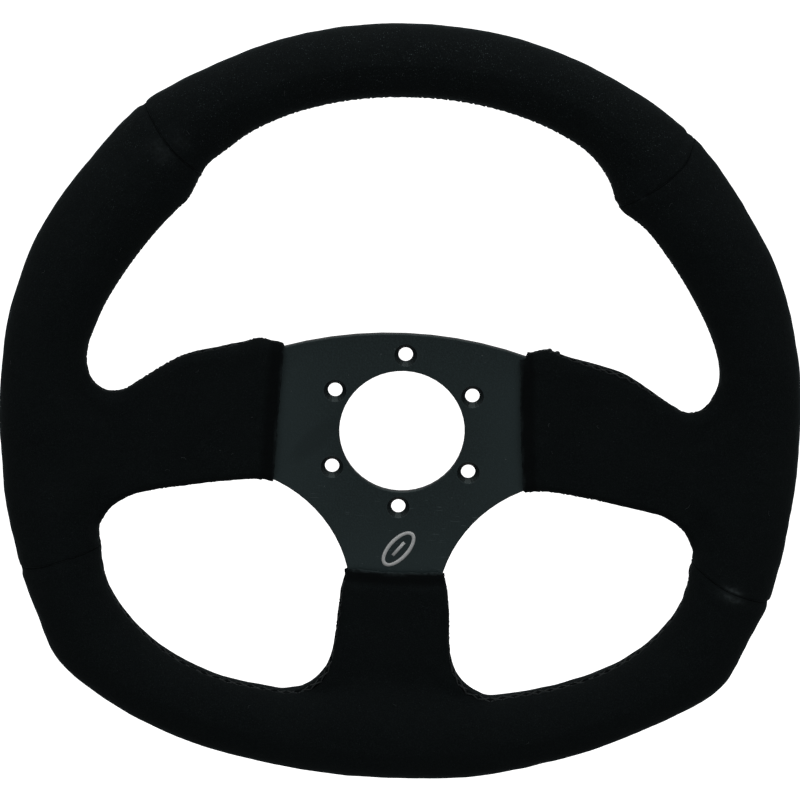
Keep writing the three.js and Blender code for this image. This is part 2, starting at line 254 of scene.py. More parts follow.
# ---------------------------------------------------------------- distance fields over the planform
CELL = 0.8
REACH = 46.0
GX = np.arange(-200, 200 + CELL / 2, CELL)
GY = np.arange(-178, 194 + CELL / 2, CELL)
XX, YY = np.meshgrid(GX, GY, indexing="ij")


def loop_field(loop):
    """Signed distance to a closed loop on the grid, positive inside."""
    out = np.full(XX.shape, REACH**2)
    for a, b in zip(loop, np.roll(loop, -1, axis=0)):
        low, high = np.minimum(a, b) - REACH, np.maximum(a, b) + REACH
        i0, i1 = np.searchsorted(GX, (low[0], high[0]))
        j0, j1 = np.searchsorted(GY, (low[1], high[1]))
        px, py = XX[i0:i1, j0:j1] - a[0], YY[i0:i1, j0:j1] - a[1]
        d = b - a
        t = np.clip((px * d[0] + py * d[1]) / max(d @ d, 1e-9), 0, 1)
        r = (px - t * d[0]) ** 2 + (py - t * d[1]) ** 2
        np.minimum(out[i0:i1, j0:j1], r, out=out[i0:i1, j0:j1])
    hit = np.zeros(XX.shape, bool)
    for (ax, ay), (bx, by) in zip(loop, np.roll(loop, -1, axis=0)):
        j0, j1 = np.searchsorted(GY, (min(ay, by), max(ay, by)))
        if j1 > j0:
            cross = ax + (GY[j0:j1] - ay) * (bx - ax) / (by - ay)
            hit[:, j0:j1] ^= GX[:, None] < cross[None, :]
    return np.where(hit, np.sqrt(out), -np.sqrt(out))


def sample(field, x, y):
    """Bicubic value of a grid field at each point."""
    u = np.clip((x - GX[0]) / CELL, 1, len(GX) - 3.001)
    v = np.clip((y - GY[0]) / CELL, 1, len(GY) - 3.001)
    i, j = u.astype(int), v.astype(int)

    def weights(f):
        return (
            -0.5 * f + f**2 - 0.5 * f**3,
            1 - 2.5 * f**2 + 1.5 * f**3,
            0.5 * f + 2 * f**2 - 1.5 * f**3,
            -0.5 * f**2 + 0.5 * f**3,
        )

    wu, wv = weights(u - i), weights(v - j)
    return sum(
        wu[a] * sum(wv[b] * field[i + a - 1, j + b - 1] for b in range(4))
        for a in range(4)
    )


def step(low, high, value):
    t = np.clip((value - low) / (high - low), 0, 1)
    return t * t * (3 - 2 * t)


def smooth_min(a, b, k):
    h = np.clip(0.5 + 0.5 * (b - a) / k, 0, 1)
    return b * (1 - h) + a * h - k * h * (1 - h)


def curve_distance(x, y, curve):
    """Signed distance to an open curve, positive on its left, and the length along it."""
    best, side, along = (np.full(len(x), 1e9), np.zeros(len(x)), np.zeros(len(x)))
    gone = 0.0
    for a, b in zip(curve[:-1], curve[1:]):
        d = b - a
        size = math.hypot(*d)
        px, py = x - a[0], y - a[1]
        t = np.clip((px * d[0] + py * d[1]) / size**2, 0, 1)
        r = (px - t * d[0]) ** 2 + (py - t * d[1]) ** 2
        m = r < best
        best[m], side[m], along[m] = r[m], (d[0] * py - d[1] * px)[m], gone + t[m] * size
        gone += size
    return np.where(side >= 0, 1, -1) * np.sqrt(best), along


seam_curves = {n: spline(p, 1.5) for n, p in SEAMS.items()}
hem_curves = {n: spline(p, 2.5) for n, p in HEMS.items()}
D_OUTER = loop_field(outer_loop)
D_UPPER = -loop_field(upper_loop)
D_LOWER_RIGHT = -loop_field(lower_loops[0])
D_LOWER_LEFT = -loop_field(lower_loops[1])
D_HOLE = np.minimum(np.minimum(D_UPPER, D_LOWER_RIGHT), D_LOWER_LEFT)
D_EDGE = np.minimum(D_OUTER, D_HOLE)
D_INNER = -loop_field(inner_loop)
D_PLATE = loop_field(plate_loop)
INTO = np.hypot(XX, YY) - 100
for name, sign in (("right", 1), ("left", -1), ("bottom", -1)):
    d, _ = curve_distance(XX.ravel(), YY.ravel(), hem_curves[name])
    INTO = np.maximum(INTO, sign * d.reshape(XX.shape))

# ---------------------------------------------------------------- the covered wheel as one implicit body
WEB_EDGE = 4.4
RIM_POWER = 2.12
FILLET = 15.0


def web_half(into):
    """Half thickness of a covered spoke: tight on the plate at the hem, then padded."""
    return 3.5 + 0.15 * step(0, 4, into) + 1.6 * step(4.4, 8.2, into) + 0.75 * step(8, 45, into)


def body(do, di, de, into, z):
    zz = np.abs(z - MIDDLE)
    half = np.maximum(0.5 * (do + di), 8.0)
    p, q = np.abs(0.5 * (do - di)) / half, zz / RIM_DEPTH
    n = RIM_POWER
    g = (p**n + q**n) ** (1 / n) + 1e-6
    slope = g ** (1 - n) * np.hypot(p ** (n - 1) / half, q ** (n - 1) / RIM_DEPTH)
    rim = (g - 1) / np.maximum(slope, 0.02)
    h = web_half(into)
    e, w = np.clip((WEB_EDGE - de) / WEB_EDGE, 0, 4), zz / h
    g = np.hypot(e, w) + 1e-6
    web = (g - 1) / np.maximum(np.hypot(e / WEB_EDGE, w / h) / g, 0.02)
    merged = smooth_min(rim, web, FILLET * np.clip(de / 16, 0.08, 1))
    return -smooth_min(-merged, de + 0.3, 1.2)


def body_at(v):
    x, y = v[:, 0], v[:, 1]
    return body(
        sample(D_OUTER, x, y), sample(D_INNER, x, y), sample(D_EDGE, x, y), sample(INTO, x, y), v[:, 2]
    )


def body_gradient(v):
    out = np.empty_like(v)
    for i in range(3):
        d = np.zeros(3)
        d[i] = 0.25
        out[:, i] = (body_at(v + d) - body_at(v - d)) / 0.5
    return out


def settle(v, rounds):
    """Moves points onto the body's surface and also returns the outward normals."""
    for _ in range(rounds):
        g = body_gradient(v)
        size = np.maximum((g**2).sum(1), 0.05)
        move = (body_at(v) / size)[:, None] * g
        length = np.linalg.norm(move, axis=1, keepdims=True)
        v = v - move * np.minimum(1, 1.0 / np.maximum(length, 1e-9))
    g = body_gradient(v)
    return v, g / np.maximum(np.linalg.norm(g, axis=1, keepdims=True), 1e-9)


def surface_net(values, origin, cell):
    """Quads round the zero level of a grid of values, one vertex in each cell it crosses.

    The crossings are kept off the grid's own points, so that no two vertices fall in one place.
    """
    neg = values < 0
    count = np.zeros([n - 1 for n in neg.shape], np.int8)
    for i in (0, 1):
        for j in (0, 1):
            for k in (0, 1):
                count += neg[i : neg.shape[0] - 1 + i, j : neg.shape[1] - 1 + j, k : neg.shape[2] - 1 + k]
    mixed = (count > 0) & (count < 8)
    index = np.full(mixed.shape, -1)
    cells = np.argwhere(mixed)
    index[mixed] = np.arange(len(cells))
    total, crossings = np.zeros((len(cells), 3)), np.zeros(len(cells))
    for axis in range(3):
        u, v = (axis + 1) % 3, (axis + 2) % 3
        for du in (0, 1):
            for dv in (0, 1):
                a = np.zeros(3, int)
                a[u], a[v] = du, dv
                b = a.copy()
                b[axis] = 1
                va = values[tuple((cells + a).T)]
                vb = values[tuple((cells + b).T)]
                m = (va < 0) != (vb < 0)
                t = np.clip(va[m] / (va[m] - vb[m]), 0.1, 0.9)
                total[m] += a
                total[m, axis] += t
                crossings[m] += 1
    verts = np.array(origin) + cell * (cells + total / crossings[:, None])
    quads = []
    for axis in range(3):
        u, v = (axis + 1) % 3, (axis + 2) % 3
        first = np.take(neg, range(neg.shape[axis] - 1), axis)
        second = np.take(neg, range(1, neg.shape[axis]), axis)
        at = np.argwhere(first != second)
        ring = []
        for du, dv in ((0, 0), (-1, 0), (-1, -1), (0, -1)):
            c = at.copy()
            c[:, u] += du
            c[:, v] += dv
            ring.append(index[tuple(c.T)])
        ring = np.stack(ring, 1)
        flip = ~first[tuple(at.T)]
        ring[flip] = ring[flip][:, ::-1]
        quads.append(ring)
    return verts, np.concatenate(quads)


def relax(v, faces, rounds):
    """Evens out the mesh along the surface."""
    edges = np.concatenate([faces[:, [i, (i + 1) % faces.shape[1]]] for i in range(faces.shape[1])])
    degree = np.bincount(edges[:, 0], minlength=len(v)) + np.bincount(edges[:, 1], minlength=len(v))
    for _ in range(rounds):
        mean = np.stack(
            [
                np.bincount(edges[:, 0], v[edges[:, 1], i], len(v))
                + np.bincount(edges[:, 1], v[edges[:, 0], i], len(v))
                for i in range(3)
            ],
            1,
        ) / degree[:, None]
        v, _ = settle(0.5 * v + 0.5 * mean, 1)
    return settle(v, 1)[0]


def body_mesh(cell):
    """The body's surface as evenly spaced triangles."""
    gx = np.arange(-194, 194, cell)
    gy = np.arange(-172, 188, cell)
    gz = np.arange(MIDDLE - RIM_DEPTH - 2.6, MIDDLE + RIM_DEPTH + 2.6 + cell, cell)
    px, py = np.meshgrid(gx, gy, indexing="ij")
    cols = [sample(f, px, py)[:, :, None] for f in (D_OUTER, D_INNER, D_EDGE, INTO)]
    v, quads = surface_net(body(*cols, gz[None, None, :]), (gx[0], gy[0], gz[0]), cell)
    v, _ = settle(v, 2)
    v = relax(v, quads, 3)
    a, b, c, d = (v[quads[:, i]] for i in range(4))
    short = ((a - c) ** 2).sum(1) <= ((b - d) ** 2).sum(1)
    tris = np.concatenate(
        [
            np.where(short[:, None], quads[:, [0, 1, 2]], quads[:, [0, 1, 3]]),
            np.where(short[:, None], quads[:, [0, 2, 3]], quads[:, [1, 2, 3]]),
        ]
    )
    return v, tris


SNAP = 0.04  # a vertex this near to a cut is taken as on it, in mm


def split(v, tris, f, chosen=None):
    """Cuts the triangles along the zero level of f, and returns the new vertices, triangles and f."""
    f = np.where(np.abs(f) < SNAP, 0.0, f)
    cut = np.zeros(len(tris), bool)
    sides = []
    for i in range(3):
        a, b = tris[:, i], tris[:, (i + 1) % 3]
        crossed = f[a] * f[b] < 0
        sides.append(crossed)
        cut |= crossed
    if chosen is not None:
        cut &= chosen
    work = tris[cut]
    keep = tris[~cut]
    pairs, masks = [], []
    for i in range(3):
        a, b = work[:, i], work[:, (i + 1) % 3]
        m = f[a] * f[b] < 0
        masks.append(m)
        pairs.append(np.stack([np.minimum(a, b), np.maximum(a, b)], 1))
    every = np.concatenate([p[m] for p, m in zip(pairs, masks)])
    unique, back = np.unique(every, axis=0, return_inverse=True)
    back = back.ravel()
    t = (f[unique[:, 0]] / (f[unique[:, 0]] - f[unique[:, 1]]))[:, None]
    fresh = v[unique[:, 0]] * (1 - t) + v[unique[:, 1]] * t
    new = np.full((len(work), 3), -1)
    start = 0
    for i in range(3):
        n = masks[i].sum()
        new[masks[i], i] = len(v) + back[start : start + n]
        start += n
    out = [keep]
    number = sum(m.astype(int) for m in masks)
    for i in range(3):
        j, k = (i + 1) % 3, (i + 2) % 3
        # one crossed side: the level passes through the opposite corner
        m = (number == 1) & masks[i]
        w, n = work[m], new[m]
        out += [np.stack([w[:, i], n[:, i], w[:, k]], 1), np.stack([n[:, i], w[:, j], w[:, k]], 1)]
        # two crossed sides meet in corner j
        m = (number == 2) & masks[i] & masks[j]
        w, n = work[m], new[m]
        out += [
            np.stack([n[:, i], w[:, j], n[:, j]], 1),
            np.stack([w[:, i], n[:, i], n[:, j]], 1),
            np.stack([w[:, i], n[:, j], w[:, k]], 1),
        ]
    return np.concatenate([v, fresh]), np.concatenate(out), np.concatenate([f, np.zeros(len(fresh))])


# ---------------------------------------------------------------- small-scale relief of the suede
def waves(v, length, seed, count=9):
    """Smooth noise between about -1 and 1 with waves about that long, in mm."""
    rng = np.random.default_rng(seed)
    out = np.zeros(len(v))
    for _ in range(count):
        k = rng.normal(size=3)
        k *= 2 * math.pi / length * rng.uniform(0.65, 1.5) / np.linalg.norm(k)
        out += np.cos(v @ k + rng.uniform(0, 2 * math.pi))
    return out / math.sqrt(count)


def rolled(distance, radius):
    """Depth of the valley between two rolled edges that meet."""
    r = np.clip(radius - np.abs(distance), 0, radius)
    return radius - np.sqrt(np.maximum(radius**2 - r**2, 0))


SEAM_ROLL = 0.85
SEAM_SHADE = 0.5
LACE_ROLL = 1.25
SEAM_LEVELS = (0.0, 0.2, -0.2, 0.45, -0.45, 0.85, -0.85, 2.0, -2.0)
LACE_LEVELS = (0.0, 0.3, -0.3, 0.7, -0.7, 1.25, -1.25)


def lace_plane(x, y):
    """Height of the laced edge above the plate's back face."""
    shift = sum(d * np.exp(-((x - cx) ** 2 + (y - cy) ** 2) / r**2) for cx, cy, r, d in LACE_SHIFTS)
    return MIDDLE + shift


def seam_fields(v):
    return {n: curve_distance(v[:, 0], v[:, 1], c) for n, c in seam_curves.items()}


def suede_relief(v):
    """How far the suede's surface stands out from the even one, in mm, with masks for its material, among
    them painted shade along the seams and the laced edge.
    """
    x, y, z = v.T
    hole = sample(D_HOLE, x, y)
    into = sample(INTO, x, y)
    out = 0.16 * waves(v, 34, 3) + 0.07 * waves(v, 11, 4) * step(0, 9, into)
    out += 0.03 * waves(v, 4.2, 5)
    # the laced edge of the cover, on the middle of every inner side
    inner = 1 - step(4.5, 7.5, hole)
    across = z - lace_plane(x, y)
    out -= inner * rolled(across, LACE_ROLL)
    pull = np.exp(-((across / 4.0) ** 2)) * inner
    out += 0.16 * pull * waves(v, 5.5, 6)
    # cross seams
    seam_shade_mask = np.zeros(len(v))
    for (d, _), seed in zip(seam_fields(v).values(), (11, 12, 13, 14)):
        near = np.abs(d) < 30
        if not near.any():
            continue
        out[near] -= rolled(d[near], SEAM_ROLL)
        swell = np.exp(-(((np.abs(d) - 4.5) / 3.2) ** 2))
        out += 0.22 * swell * near
        out += 0.10 * np.exp(-np.abs(d) / 4.0) * waves(v, 5.0, seed) * step(0.6, 2.5, np.abs(d))
        # Painted shade along the seam's valley.
        seam_shade_mask = np.maximum(seam_shade_mask, SEAM_SHADE * np.exp(-((d / 0.8) ** 2)))
    # puckers just behind each hem, and the lip of the raw edge
    band = np.exp(-(((into - 7.0) / 4.0) ** 2)) * (into > 0)
    out += 0.16 * band * waves(v, 7.5, 21)
    out -= 0.25 * np.exp(-(np.clip(into, 0, 9) / 0.8) ** 2) * (into < 3)
    # The last mask is painted shade along the laced edge's groove.
    return out, seam_shade_mask, into, inner * np.exp(-((across / 1.1) ** 2))


# ---------------------------------------------------------------- meshes
def to_row(v):
    return np.stack([v[:, 0], -v[:, 2], v[:, 1]], 1) * MM


def make_object(name, v, faces, material, smooth=True, attributes=None):
    """A mesh object; the faces are an array with one row of vertex numbers for each."""
    mesh = bpy.data.meshes.new(name)
    count, sides = faces.shape
    mesh.vertices.add(len(v))
    mesh.vertices.foreach_set("co", v.astype(np.float32).ravel())
    mesh.loops.add(count * sides)
    mesh.loops.foreach_set("vertex_index", faces.astype(np.int32).ravel())
    mesh.polygons.add(count)
    mesh.polygons.foreach_set("loop_start", np.arange(0, count * sides, sides, dtype=np.int32))
    mesh.update(calc_edges=True)
    mesh.validate()
    if smooth:
        mesh.shade_smooth()
    for key, values in (attributes or {}).items():
        mesh.attributes.new(key, "FLOAT", "POINT").data.foreach_set("value", values.astype(np.float32))
    mesh.materials.append(material)
    obj = bpy.data.objects.new(name, mesh)
    scene.collection.objects.link(obj)
    return obj


def closed_shell(outer, inner, tris):
    """A thin closed solid between an outer surface and its inner copy."""
    edges = np.concatenate([tris[:, [0, 1]], tris[:, [1, 2]], tris[:, [2, 0]]])
    key = np.sort(edges, 1)
    _, first, number = np.unique(key, axis=0, return_index=True, return_counts=True)
    rim = edges[first[number == 1]]
    n = len(outer)
    sides = np.concatenate(
        [
            np.stack([rim[:, 1], rim[:, 0], rim[:, 0] + n], 1),
            np.stack([rim[:, 1], rim[:, 0] + n, rim[:, 1] + n], 1),
        ]
    )
    return np.concatenate([outer, inner]), np.concatenate([tris, tris[:, ::-1] + n, sides])


def compact(v, tris, extra):
    used = np.unique(tris)
    back = np.full(len(v), -1)
    back[used] = np.arange(len(used))
    return v[used], back[tris], {k: a[used] for k, a in extra.items()}


def tube(path, radius, sides=6, closed=False):
    """A round thread along a path: vertices and triangles of a closed solid."""
    p = np.asarray(path, float)
    t = np.roll(p, -1, 0) - np.roll(p, 1, 0) if closed else np.gradient(p, axis=0)
    t /= np.maximum(np.linalg.norm(t, axis=1, keepdims=True), 1e-9)
    ref = np.array([0.0, 0.0, 1.0]) if abs(t[0][2]) < 0.8 else np.array([1.0, 0.0, 0.0])
    u = np.cross(t[0], ref)
    rings = []
    for i in range(len(p)):
        u = u - t[i] * (u @ t[i])
        u /= np.linalg.norm(u)
        w = np.cross(t[i], u)
        a = np.arange(sides) * 2 * math.pi / sides
        r = radius[i] if np.ndim(radius) else radius
        rings.append(p[i] + r * (np.cos(a)[:, None] * u + np.sin(a)[:, None] * w))
    v = np.concatenate(rings)
    n = len(p)
    tris = []
    for i in range(n if closed else n - 1):
        j = (i + 1) % n
        for k in range(sides):
            m = (k + 1) % sides
            a, b, c, d = i * sides + k, i * sides + m, j * sides + m, j * sides + k
            tris += [(a, b, c), (a, c, d)]
    if not closed:
        v = np.concatenate([v, p[:1], p[-1:]])
        for k in range(sides):
            m = (k + 1) % sides
            tris += [(m, k, n * sides), ((n - 1) * sides + k, (n - 1) * sides + m, n * sides + 1)]
    return v, np.array(tris)


def joined(parts):
    v, f, n = [], [], 0
    for a, b in parts:
        v.append(a)
        f.append(b + n)
        n += len(a)
    return np.concatenate(v), np.concatenate(f)


# ---------------------------------------------------------------- materials
class Nodes:
    """A short way to build a node tree."""

    def __init__(self, name):
        self.material = bpy.data.materials.new(name)
        self.material.use_nodes = True
        self.tree = self.material.node_tree
        self.bsdf = self.tree.nodes["Principled BSDF"]
        self.place = self.tree.nodes.new("ShaderNodeTexCoord").outputs["Object"]

    def node(self, kind, settings=None, **inputs):
        n = self.tree.nodes.new("ShaderNode" + kind)
        for key, value in (settings or {}).items():
            setattr(n, key, value)
        for key, value in inputs.items():
            key = key.replace("_", " ")
            socket = n.inputs[int(key[2:])] if key.startswith("in") and key[2:].isdigit() else n.inputs[key]
            self.put(socket, value)
        return n

    def put(self, socket, value):
        if isinstance(value, bpy.types.NodeSocket):
            self.tree.links.new(value, socket)
        else:
            socket.default_value = value

    def math(self, operation, a, b=0.0, c=0.0):
        n = self.node("Math", {"operation": operation})
        for socket, value in zip(n.inputs, (a, b, c)):
            self.put(socket, value)
        return n.outputs[0]

    def noise(self, scale, detail=3.0, rough=0.55, distortion=0.0, vector=None):
        n = self.node(
            "TexNoise", Vector=vector or self.place, Scale=scale, Detail=detail, Roughness=rough,
            Distortion=distortion,
        )
        return n.outputs["Fac"]

    def mix(self, factor, a, b):
        n = self.node("Mix", {"data_type": "RGBA"})
        self.put(n.inputs[0], factor)
        for socket, value in ((n.inputs[6], a), (n.inputs[7], b)):
            self.put(socket, (*value, 1) if isinstance(value, tuple) and len(value) == 3 else value)
        return n.outputs[2]

    def range(self, value, a, b, c, d):
        return self.node("MapRange", Value=value, From_Min=a, From_Max=b, To_Min=c, To_Max=d).outputs[0]

    def attribute(self, name):
        return self.node("Attribute", {"attribute_name": name}).outputs["Fac"]

    def bump(self, height, distance, strength):
        return self.node("Bump", Height=height, Distance=distance, Strength=strength).outputs["Normal"]

    def set(self, **values):
        for key, value in values.items():
            socket = self.bsdf.inputs[key.replace("_", " ")]
            if isinstance(value, tuple) and len(value) == 3:
                value = (*value, 1)
            self.put(socket, value)
        return self.material


def suede_material():
    m = Nodes("suede")
    nap = m.noise(420, 4, 0.6)
    cloud = m.noise(34, 3, 0.6)
    streak = m.noise(110, 3, 0.6, 0.6)
    base = m.mix(m.range(cloud, 0.3, 0.7, 0, 1), (0.0032, 0.0051, 0.0056), (0.0046, 0.0069, 0.0074))
    pile = m.noise(1900, 2, 0.6)
    base = m.mix(m.range(pile, 0.42, 0.72, 0, 0.7), base, (0.0105, 0.0146, 0.0153))
    # Pale lint specks, painted stronger towards the top of the wheel: painted top light on the fibres.
    height_up = m.node("SeparateXYZ", Vector=m.place).outputs["Z"]
    top_light = m.range(height_up, 0.07, 0.175, 0.2, 1.0)
    speck = m.range(m.noise(2900, 0, 0.4), 0.745, 0.82, 0, 1)
    lint = m.math("MULTIPLY", m.math("MULTIPLY", speck, top_light), m.range(streak, 0.36, 0.60, 0.2, 1))
    base = m.mix(lint, base, (0.095, 0.122, 0.127))
    # Pressed patches beside the seams: lower roughness, and a lighter colour that is a painted highlight.
    worn_highlight = m.attribute("worn_highlight")
    base = m.mix(m.math("MULTIPLY", worn_highlight, m.range(nap, 0.38, 0.62, 0.3, 1.0)), base, (0.050, 0.063, 0.066))
    # Painted shade in the seam valleys and along the laced edge, and a darker band along each hem.
    base = m.mix(m.attribute("dark"), base, (0.0020, 0.0031, 0.0035))
    fray = m.math("MULTIPLY", m.attribute("raw"), m.range(nap, 0.4, 0.6, 0.3, 1))
    base = m.mix(fray, base, (0.055, 0.075, 0.079))
    height = m.math("ADD", m.math("MULTIPLY", nap, 0.5), m.math("MULTIPLY", streak, 0.5))
    fine = m.bump(height, 0.0007, 0.8)
    rough = m.math("SUBTRACT", 0.92, m.math("MULTIPLY", worn_highlight, 0.35))
    return m.set(
        Base_Color=base, Roughness=rough, Normal=fine, Specular_IOR_Level=0.10,
        Sheen_Weight=0.115, Sheen_Roughness=0.28, Sheen_Tint=(0.66, 0.92, 0.97),
    )


def plate_material():
    m = Nodes("plate_black")
    grain = m.noise(1300, 3, 0.65)
    cloud = m.noise(26, 4, 0.6)
    fine = m.noise(160, 4, 0.65)
    base = m.mix(m.range(cloud, 0.35, 0.7, 0, 1), (0.0148, 0.0232, 0.0246), (0.0178, 0.0274, 0.0290))
    axes = m.node("SeparateXYZ", Vector=m.place)
    across = m.math("ABSOLUTE", axes.outputs["X"])
    height = axes.outputs["Z"]
    radius = m.math("SQRT", m.math("ADD", m.math("POWER", across, 2.0), m.math("POWER", height, 2.0)))
    # Painted reflection: lighter towards the plate's left and right edges and its bottom.
    side = m.math("MULTIPLY", m.range(across, 0.028, 0.052, 0, 1), m.range(height, 0.04, 0.015, 0.3, 1))
    low = m.range(height, -0.035, -0.062, 0, 1)
    painted_reflection = m.math("MAXIMUM", side, low)
    base = m.mix(painted_reflection, base, (0.0232, 0.0356, 0.0378))
    # Painted shade: darker across the top of the plate and round the bore.
    top = m.range(height, 0.026, 0.043, 0, 0.8)
    plate_painted_shade = m.math("MAXIMUM", top, m.range(radius, 0.040, 0.028, 0, 0.35))
    base = m.mix(plate_painted_shade, base, (0.0115, 0.0180, 0.0192))
    base = m.mix(m.range(grain, 0.42, 0.66, 0, 0.6), base, (0.031, 0.048, 0.051))
    # Painted reflection: a darker diagonal band to the left of the bore.
    from_x, from_z = m.math("ADD", axes.outputs["X"], 0.038), m.math("ADD", height, 0.005)
    along = m.math("POWER", m.math("MULTIPLY", m.math("ADD", from_x, from_z), 42), 2.0)
    aside = m.math("POWER", m.math("MULTIPLY", m.math("SUBTRACT", from_x, from_z), 130), 2.0)
    dark_reflection = m.math("ADD", along, aside)
    base = m.mix(m.range(dark_reflection, 0.25, 1.1, 0.5, 0), base, (0.013, 0.0205, 0.0218))
    grid = m.node("Mapping", Vector=m.place, Rotation=(0, 0.25, 0), Scale=(160, 160, 1900)).outputs[0]
    scratch = m.range(m.noise(1, 1, 0.4, 0, grid), 0.745, 0.78, 0, 0.6)
    scratch = m.math("MULTIPLY", scratch, m.range(height, -0.018, -0.034, 0, 1))
    base = m.mix(scratch, base, (0.10, 0.13, 0.135))
    base = m.mix(m.range(fine, 0.62, 0.8, 0, 0.35), base, (0.033, 0.046, 0.048))
    pits = m.range(m.noise(620, 1, 0.4), 0.77, 0.80, 0, 0.5)
    base = m.mix(pits, base, (0.009, 0.014, 0.015))
    specks = m.range(m.noise(700, 1, 0.4, 0.0), 0.76, 0.80, 0, 0.8)
    base = m.mix(specks, base, (0.10, 0.12, 0.125))
    wear = m.math("ADD", m.math("MULTIPLY", grain, 0.4), m.math("MULTIPLY", cloud, 0.6))
    rough = m.range(wear, 0.3, 0.7, 0.42, 0.58)
    normal = m.node("NewGeometry").outputs["Normal"]
    facing = m.math("ABSOLUTE", m.node("SeparateXYZ", Vector=normal).outputs["Y"])
    # Painted shade: faces turned away from the front and back, such as the countersink cones, bore walls and
    # plate sides, are painted darker; they are also made glossier.
    cone = m.range(facing, 0.95, 0.80, 0, 1)
    base = m.mix(m.math("MULTIPLY", cone, 0.85), base, (0.0030, 0.0050, 0.0055))
    rough = m.math("SUBTRACT", rough, m.math("MULTIPLY", cone, 0.24))
    # Painted highlight: lighter along the plate's edges and chamfers.
    bevel = m.node("Bevel", {"samples": 4}, Radius=0.0006)
    edge = m.node("VectorMath", {"operation": "DISTANCE"}, in0=bevel.outputs[0], in1=normal).outputs["Value"]
    base = m.mix(m.range(edge, 0.12, 0.6, 0, 0.6), base, (0.06, 0.085, 0.09))
    bump = m.bump(grain, 0.00010, 0.8)
    return m.set(Base_Color=base, Roughness=rough, Normal=bump, Specular_IOR_Level=0.35,
                 Specular_Tint=(0.80, 0.98, 0.98))


def simple_material(name, low, high, scale, roughness, metallic=0.0, distance=0.0001, **more):
    m = Nodes(name)
    n = m.noise(scale, 4, 0.6)
    return m.set(
        Base_Color=m.mix(m.range(n, 0.3, 0.7, 0, 1), low, high),
        Roughness=m.range(m.noise(scale * 2.3, 3, 0.6), 0.3, 0.7, roughness - 0.06, roughness + 0.06),
        Normal=m.bump(n, distance, 0.6), Metallic=metallic, **more,
    )


SUEDE_MAT = suede_material()
PLATE_MAT = plate_material()
STEEL_MAT = simple_material("brushed_steel", (0.30, 0.31, 0.33), (0.42, 0.43, 0.45), 260, 0.38, 1.0)
RIVET_MAT = simple_material("rivet_steel", (0.42, 0.42, 0.44), (0.58, 0.58, 0.60), 500, 0.3, 1.0)
FOAM_MAT = simple_material("foam_black", (0.02, 0.02, 0.021), (0.035, 0.035, 0.037), 700, 0.85, 0.0, 0.0003)
THREAD_MAT = simple_material(
    "thread_black", (0.006, 0.0090, 0.0095), (0.025, 0.034, 0.036), 1500, 0.6, 0.0, 0.0002,
    Specular_IOR_Level=0.3, Sheen_Weight=0.2, Sheen_Roughness=0.4,
)
LINT_MAT = simple_material("lint_grey", (0.05, 0.062, 0.065), (0.09, 0.105, 0.11), 1200, 0.8)
MARK_MAT = simple_material("mark_white", (0.62, 0.64, 0.64), (0.78, 0.80, 0.80), 900, 0.6, 0.0, 0.00002)

# ---------------------------------------------------------------- foam under the cover
FOAM_INSET = 1.7
FOAM_CELL = 2.2
METAL_GAP = 0.4
JUST_OUTSIDE = 0.05
HOOP_HALF_SPACE = (6.4, 2.4)  # across the rim and along its depth


def corner(grid, u, v, at_u, at_v):
    """One corner of every square of a grid that lies along axes u and v."""
    cut = [slice(None)] * 3
    for axis, at in ((u, at_u), (v, at_v)):
        cut[axis] = slice(at, grid.shape[axis] - 1 + at)
    return grid[tuple(cut)]


def untangled(values):
    """The same grid with no square of it inside on one diagonal only, where a surface would cross itself."""
    values = values.copy()
    clear = np.ones(values.shape, bool)
    while clear.any():
        neg = values < 0
        clear = np.zeros(values.shape, bool)
        for u, v in ((0, 1), (1, 2), (0, 2)):
            a, b, c, d = (corner(neg, u, v, *at) for at in ((0, 0), (1, 0), (1, 1), (0, 1)))
            corner(clear, u, v, 0, 0)[...] |= a & c & ~b & ~d
            corner(clear, u, v, 1, 0)[...] |= b & d & ~a & ~c
        values[clear] = JUST_OUTSIDE
    return values


def foam_mesh():
    """The padding: the covered body drawn in all round, with the space of the plate, hoop and rivets."""
    gx = np.arange(-190, 190, FOAM_CELL)
    gy = np.arange(-169, 185, FOAM_CELL)
    gz = np.arange(MIDDLE - RIM_DEPTH - 1, MIDDLE + RIM_DEPTH + 1 + FOAM_CELL, FOAM_CELL)
    px, py = np.meshgrid(gx, gy, indexing="ij")
    do, di, de, into, dp = (
        sample(f, px, py)[:, :, None] for f in (D_OUTER, D_INNER, D_EDGE, INTO, D_PLATE)
    )
    z = gz[None, None, :]
    hoop_low, hoop_high = (c[1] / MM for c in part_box("rim_hoop"))
    rivet_boxes = [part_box(n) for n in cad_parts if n.startswith("rivet")]
    metal = np.maximum(np.abs(z - MIDDLE) - MIDDLE - METAL_GAP, -dp - METAL_GAP)
    hoop_across, hoop_deep = HOOP_HALF_SPACE
    hoop_z = -0.5 * (hoop_low + hoop_high)
    hoop = np.maximum(np.abs(0.5 * (do - di)) - hoop_across, np.abs(z - hoop_z) - hoop_deep)
    metal = np.minimum(metal, hoop)
    for low, high in rivet_boxes:
        x0, y0 = (low[0] + high[0]) / 2 / MM, (low[2] + high[2]) / 2 / MM
        reach = (high[0] - low[0]) / 2 / MM + METAL_GAP
        tall = np.maximum(-high[1] / MM - z, z + low[1] / MM)
        round_rivet = np.hypot(px - x0, py - y0)[:, :, None] - reach
        metal = np.minimum(metal, np.maximum(round_rivet, tall - METAL_GAP))
    values = np.maximum(body(do, di, de, into, z) + FOAM_INSET, 5.5 - into)
    return surface_net(untangled(np.maximum(values, -metal)), (gx[0], gy[0], gz[0]), FOAM_CELL)


# ---------------------------------------------------------------- suede panels
GRID = 1.3
